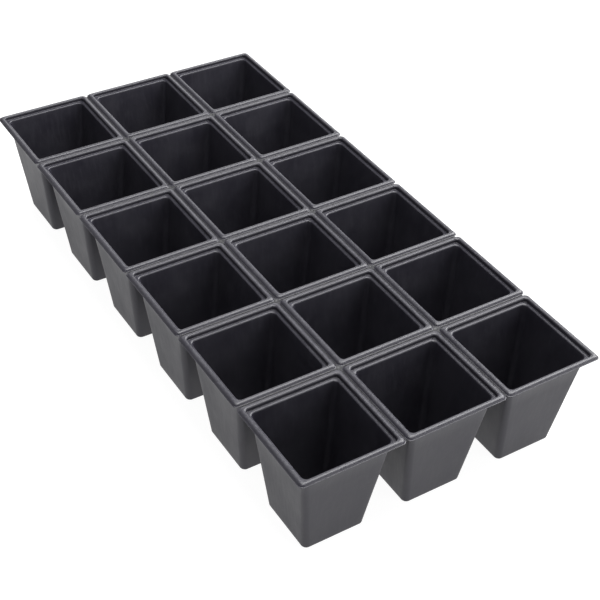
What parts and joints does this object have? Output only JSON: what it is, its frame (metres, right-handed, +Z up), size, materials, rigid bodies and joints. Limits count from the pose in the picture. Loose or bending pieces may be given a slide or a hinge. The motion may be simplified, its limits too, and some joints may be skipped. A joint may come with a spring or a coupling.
{
  "type": "plug tray",
  "caption": "Grid of tapered square pots formed in thin black sheet, joined by scored tear lines between their raised rims; holds growing mix for seedlings.",
  "frame": {"origin": "centre of the tray's footprint, on the surface it stands on", "axes": "+Y along the tray's long side, towards row 1; +X along its short side, from column 1 to the last column; +Z up"},
  "size_m": [0.263, 0.527, 0.092],
  "materials": {
    "formed_sheet": "satin"
  },
  "bodies": {
    "root": {"pot_row1_column1": "formed_sheet", "pot_row1_column2": "formed_sheet", "pot_row1_column3": "formed_sheet", "pot_row2_column1": "formed_sheet", "pot_row2_column2": "formed_sheet", "pot_row2_column3": "formed_sheet", "pot_row3_column1": "formed_sheet", "pot_row3_column2": "formed_sheet", "pot_row3_column3": "formed_sheet", "pot_row4_column1": "formed_sheet", "pot_row4_column2": "formed_sheet", "pot_row4_column3": "formed_sheet", "pot_row5_column1": "formed_sheet", "pot_row5_column2": "formed_sheet", "pot_row5_column3": "formed_sheet", "pot_row6_column1": "formed_sheet", "pot_row6_column2": "formed_sheet", "pot_row6_column3": "formed_sheet", "cross_tear_line_1": "formed_sheet", "cross_tear_line_2": "formed_sheet", "cross_tear_line_3": "formed_sheet", "cross_tear_line_4": "formed_sheet", "cross_tear_line_5": "formed_sheet", "long_tear_line_1": "formed_sheet", "long_tear_line_2": "formed_sheet", "corner_dimples": "formed_sheet"}
  },
  "joints": []
}
